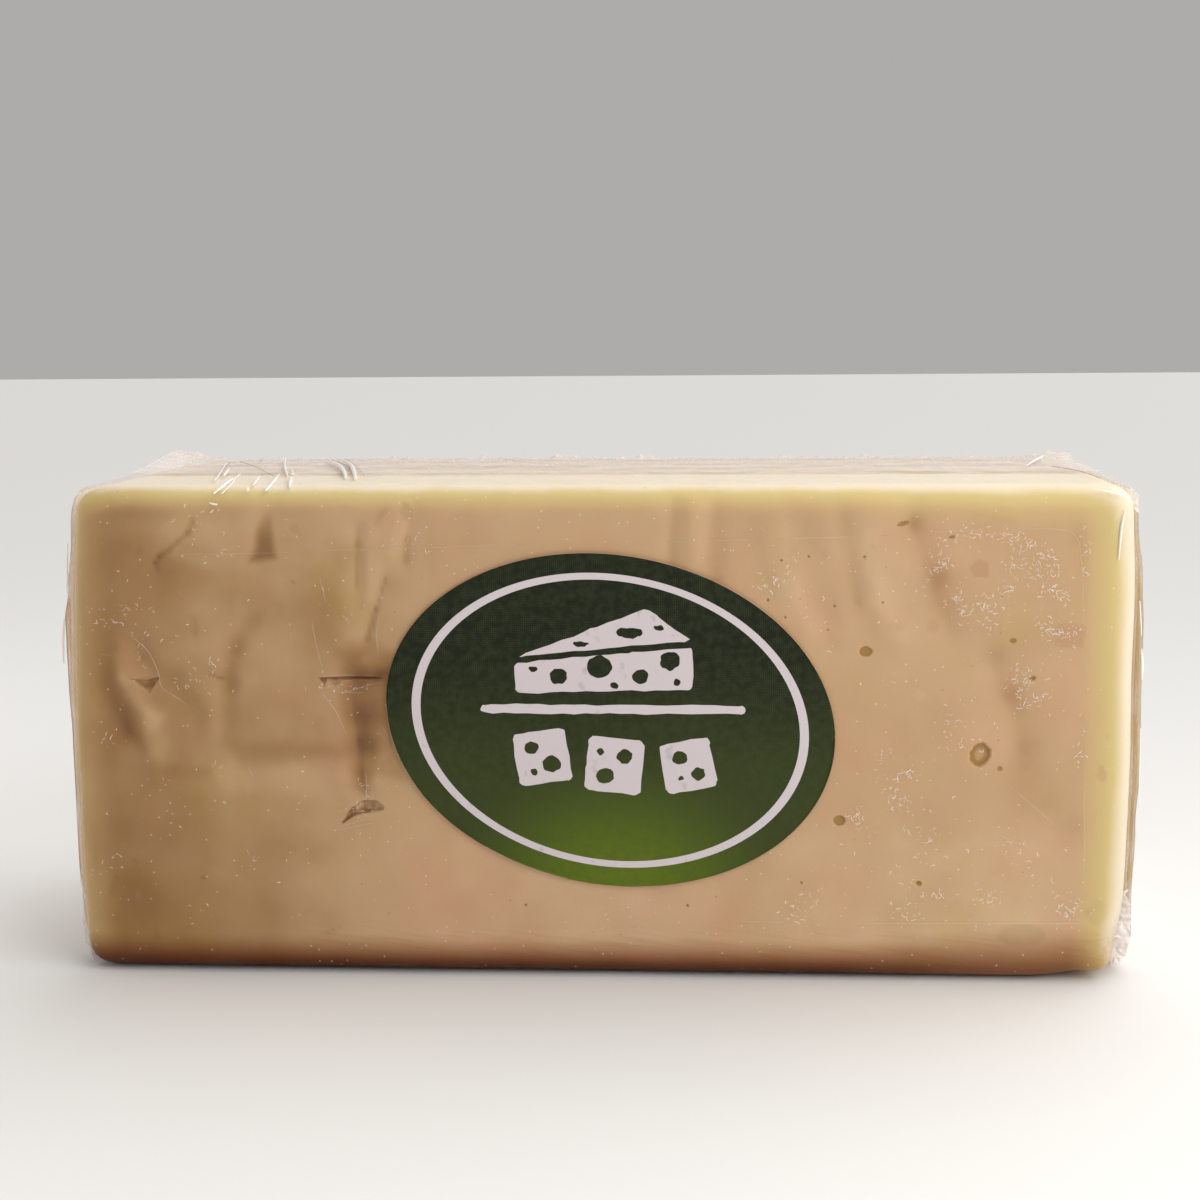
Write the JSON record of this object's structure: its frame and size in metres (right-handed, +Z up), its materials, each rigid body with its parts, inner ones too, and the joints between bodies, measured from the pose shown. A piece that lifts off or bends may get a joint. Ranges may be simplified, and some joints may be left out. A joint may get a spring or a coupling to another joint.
{
  "type": "block of kashkaval cheese in a clear film pouch",
  "caption": "Block of firm yellow cheese sealed in a clear film pouch with its rims folded forward, and a tilted oval sticker on the large front face.",
  "frame": {"origin": "middle of the base, under the middle of the whole pack, on the surface that it stands on", "axes": "+X to the right along the long side, seen from the front; +Z up; the large face with the sticker looks along -Y"},
  "size_m": [0.188, 0.0666, 0.088],
  "materials": {
    "cheese": "firm yellow cheese, smooth and slightly moist, lighter and creamier at its edges and top",
    "film": "clear soft film, glossy, with fine wrinkles, specks and scratches",
    "label": "coated paper printed dark green, lime green towards its foot, with pale shapes"
  },
  "bodies": {
    "root": {"cheese_pack": "cheese", "label": "label"}
  },
  "joints": []
}
